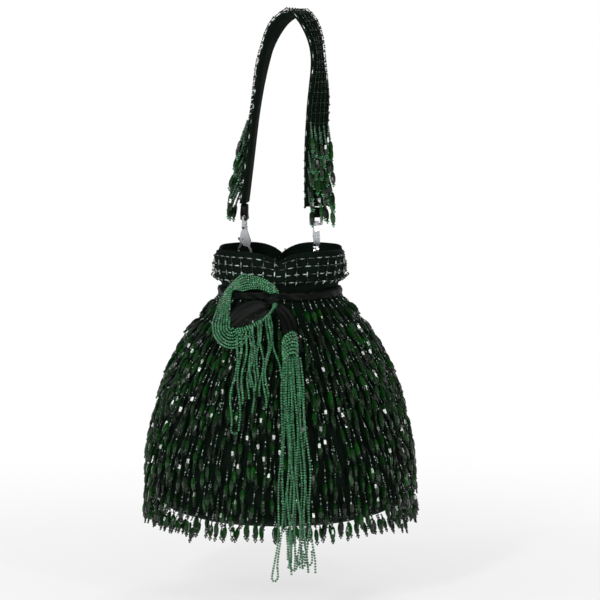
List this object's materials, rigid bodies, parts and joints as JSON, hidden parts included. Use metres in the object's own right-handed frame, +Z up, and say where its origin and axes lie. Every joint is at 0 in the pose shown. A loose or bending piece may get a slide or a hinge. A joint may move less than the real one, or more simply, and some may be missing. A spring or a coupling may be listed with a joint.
{
  "type": "potli bag",
  "caption": "Round drawstring pouch of dark green velvet covered in rows of glass bead fringe, with a beaded collar, bead tassels and a short padded handle on two swivel claw clips.",
  "frame": {"origin": "middle of the flat underside at the top of the handle's arch, where a hook or a hand carries the bag", "axes": "+Z up; the handle's arch lies in the XZ plane and the tassels hang on the front, which faces 38 degrees from -Y towards +X"},
  "size_m": [0.215, 0.215, 0.4287],
  "materials": {
    "velvet": "dark green cut velvet",
    "satin": "black-green satin ribbon and lining",
    "glass_beads": "clear dark green glass beads and faceted drops",
    "bright_beads": "bright green glass seed beads",
    "silver_metal": "polished silver plate"
  },
  "bodies": {
    "handle": {"strap": "velvet", "strap_net": "glass_beads", "strap_fringe_left": "bright_beads", "strap_fringe_right": "bright_beads", "strap_tab_left": "satin", "strap_tab_right": "satin", "swivel_ring_left": "silver_metal", "swivel_ring_right": "silver_metal"},
    "clip_left": {"claw_left": "silver_metal", "lever_pin_left": "silver_metal", "lever_spring_left": "silver_metal"},
    "clip_right": {"claw_right": "silver_metal", "lever_pin_right": "silver_metal", "lever_spring_right": "silver_metal"},
    "lever_left": {"claw_lever_left": "silver_metal"},
    "lever_right": {"claw_lever_right": "silver_metal"},
    "bag": {"bag_shell": "velvet", "lining": "satin", "drawstring": "satin", "collar": "velvet", "clip_loop_left": "satin", "clip_loop_right": "satin", "drawstring_knot": "satin", "tail_right": "satin", "tail_left": "satin", "tassel_head_right": "bright_beads", "tassel_head_left": "bright_beads", "tassel_skirt_right": "bright_beads", "tassel_skirt_left": "bright_beads", "tassel_loop_upper": "bright_beads", "tassel_loop_lower": "bright_beads", "fringe_row_01": "glass_beads", "fringe_row_02": "glass_beads", "fringe_row_03": "glass_beads", "fringe_row_04": "glass_beads", "fringe_row_05": "glass_beads", "fringe_row_06": "glass_beads", "fringe_row_07": "glass_beads", "fringe_row_08": "glass_beads", "fringe_row_09": "glass_beads", "fringe_row_10": "glass_beads", "fringe_row_11": "glass_beads", "fringe_row_12": "glass_beads"}
  },
  "joints": [
    {"name": "clip_left_swivel", "type": "hinge", "parent": "handle", "child": "clip_left", "pos_m": [-0.0515, 0, -0.166], "axis": [0, 0, 1], "range_deg": [-30, 30]},
    {"name": "clip_right_swivel", "type": "hinge", "parent": "handle", "child": "clip_right", "pos_m": [0.0195, 0, -0.16], "axis": [0, 0, 1], "range_deg": [-30, 30]},
    {"name": "lever_left_open", "type": "hinge", "parent": "clip_left", "child": "lever_left", "pos_m": [-0.05254, -0.0006, -0.1753], "axis": [0.5, -0.866, 0], "range_deg": [0, 18], "stiffness_Nm_per_rad": 0.02, "springref_deg": -8.59},
    {"name": "lever_right_open", "type": "hinge", "parent": "clip_right", "child": "lever_right", "pos_m": [0.01854, 0.00072, -0.1693], "axis": [-0.6018, -0.7986, 0], "range_deg": [0, 18], "stiffness_Nm_per_rad": 0.02, "springref_deg": -8.59},
    {"name": "bag_swing", "type": "hinge", "parent": "handle", "child": "bag", "pos_m": [-0.016, 0, -0.1875], "axis": [0.9964, 0, 0.0842], "range_deg": [-35, 35]}
  ]
}
